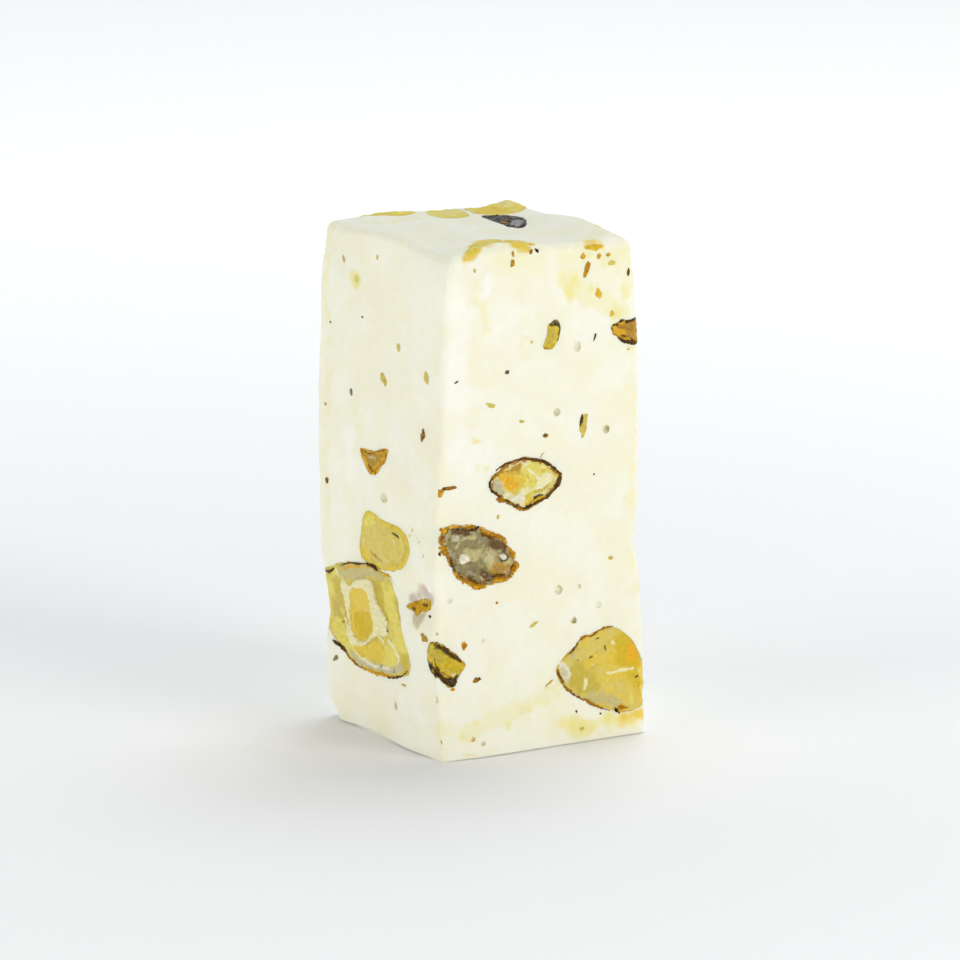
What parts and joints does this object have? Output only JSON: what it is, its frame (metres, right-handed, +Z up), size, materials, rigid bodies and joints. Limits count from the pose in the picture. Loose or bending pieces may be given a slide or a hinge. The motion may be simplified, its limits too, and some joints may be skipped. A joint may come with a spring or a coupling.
{
  "type": "nougat bite",
  "caption": "Upright knife-cut block of cream white nougat with almond and hazelnut pieces lying flush in its cut faces.",
  "frame": {"origin": "middle of the outline of the block at the flat foot that it stands on", "axes": "+Z up along the block's height; -Y is the wide cut face with the lens-shaped nut, -X the face with the large almond half"},
  "size_m": [0.0266, 0.0246, 0.054],
  "materials": {
    "nougat": "soft matt cream, slightly translucent, with faint yellow stains and fine specks",
    "almond_kernel": "waxy golden to olive kernel with a thin brown skin at its rim",
    "hazelnut_kernel": "glossy grey-olive to gold kernel with a ragged brown skin",
    "nut_skin": "dark brown to orange crumbly nut skin"
  },
  "bodies": {
    "root": {"nougat_block": "nougat", "almond_half_low": "almond_kernel", "almond_teardrop": "almond_kernel", "nut_wedge_left": "almond_kernel", "nut_crumb": "nut_skin", "hazelnut_edge": "hazelnut_kernel", "hazelnut_grey": "hazelnut_kernel", "hazelnut_lens": "hazelnut_kernel", "almond_corner": "almond_kernel", "nut_wedge_edge": "nut_skin", "nut_slanted": "hazelnut_kernel", "nut_slab_top": "almond_kernel", "nut_pale_top": "almond_kernel", "nut_ridge_top": "almond_kernel", "hazelnut_dark_top": "nut_skin", "nut_flake_top": "almond_kernel", "almond_half_back": "almond_kernel", "hazelnut_back_low": "hazelnut_kernel", "nut_wedge_back": "almond_kernel", "nut_small_back": "nut_skin", "almond_half_right": "almond_kernel", "hazelnut_right_low": "hazelnut_kernel", "nut_small_right": "almond_kernel"}
  },
  "joints": []
}
